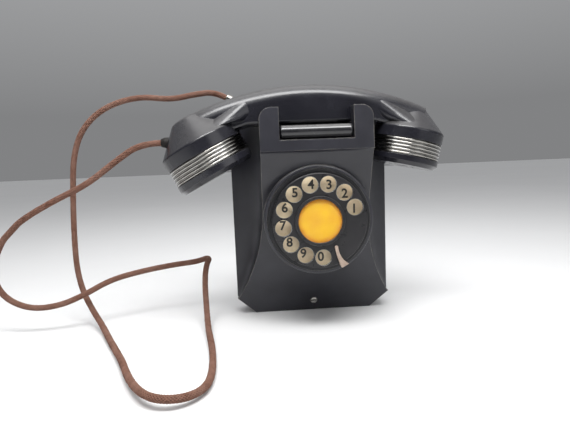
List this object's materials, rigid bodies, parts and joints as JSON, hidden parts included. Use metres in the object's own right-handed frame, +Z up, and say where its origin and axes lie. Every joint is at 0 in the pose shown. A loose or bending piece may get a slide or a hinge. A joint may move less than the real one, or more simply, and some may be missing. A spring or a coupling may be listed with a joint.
{
  "type": "rotary telephone",
  "caption": "Wall-type rotary telephone with a moulded black case, a dial on a round boss, a cradle with a hook bar, and a corded handset.",
  "frame": {"origin": "centre of the wall screw pattern on the rear face of the back plate", "axes": "+X to the viewer's right, +Y into the wall, +Z up"},
  "size_m": [0.3778, 0.1844, 0.2032],
  "materials": {
    "bakelite": "aged glossy moulding with worn edges",
    "dial_black": "semi-gloss black enamel, chipped",
    "enamel": "aged ivory enamel",
    "card": "faded yellow card",
    "window": "clear aged sheet",
    "nickel": "bright nickel plate",
    "stop_metal": "worn plated steel",
    "steel": "plain steel",
    "brass": "turned brass",
    "winding": "cotton-wrapped winding",
    "phenolic": "brown sheet",
    "braid": "brown cotton braid",
    "bush": "dark rubber"
  },
  "bodies": {
    "case": {"case_shell": "bakelite", "back_plate": "steel", "foot_bracket": "steel", "foot_screw": "nickel", "dial_cup": "dial_black", "number_plate": "enamel", "finger_stop": "stop_metal", "works_bridge": "steel", "hook_bracket": "steel", "hook_pin": "steel", "hook_switch": "phenolic", "ringer_frame": "steel", "ringer_coils": "winding", "left_gong": "brass", "right_gong": "brass", "gong_posts": "steel", "condenser": "steel", "induction_coil": "winding", "terminal_block": "phenolic", "terminal_screws": "brass", "cord_ferrule": "nickel", "handset_cord": "braid", "case_cord": "braid"},
    "dial": {"finger_wheel": "dial_black", "wheel_hub": "dial_black", "card_ring": "dial_black", "number_card": "card", "card_window": "window", "dial_shaft": "steel", "spring_barrel": "steel", "main_gear": "brass"},
    "governor": {"governor": "brass"},
    "hook": {"hook_lever": "bakelite"},
    "handset": {"handset_grip": "bakelite", "cord_bush": "bush", "mouthpiece_band": "nickel", "earpiece_band": "nickel", "mouthpiece_cap": "bakelite", "earpiece_cap": "bakelite", "transmitter_capsule": "steel", "receiver_capsule": "steel"},
    "clapper": {"clapper": "steel"}
  },
  "joints": [
    {"name": "dial_turn", "type": "hinge", "parent": "case", "child": "dial", "pos_m": [0, -0.0858, -0.0042], "axis": [0, 1, 0], "range_deg": [0, 320], "stiffness_Nm_per_rad": 0.01, "springref_deg": -57.3},
    {"name": "governor_spin", "type": "hinge", "parent": "case", "child": "governor", "pos_m": [0, -0.068, 0.0174], "axis": [0, 1, 0], "range_deg": [-1600, 0]},
    {"name": "handset_lift", "type": "slide", "parent": "case", "child": "handset", "axis": [0, 0, 1], "range_m": [0, 0.05]},
    {"name": "hook_lift", "type": "hinge", "parent": "case", "child": "hook", "pos_m": [0, -0.028, 0.04], "axis": [-1, 0, 0], "range_deg": [0, 6]},
    {"name": "clapper_swing", "type": "hinge", "parent": "case", "child": "clapper", "pos_m": [0, -0.019, -0.035], "axis": [0, 1, 0], "range_deg": [-4, 4], "stiffness_Nm_per_rad": 0.02}
  ],
  "couplings": [
    {"joint": "governor_spin", "follows": "dial_turn", "ratio": -5},
    {"joint": "hook_lift", "follows": "handset_lift", "rad_per_m": 2.0943}
  ]
}
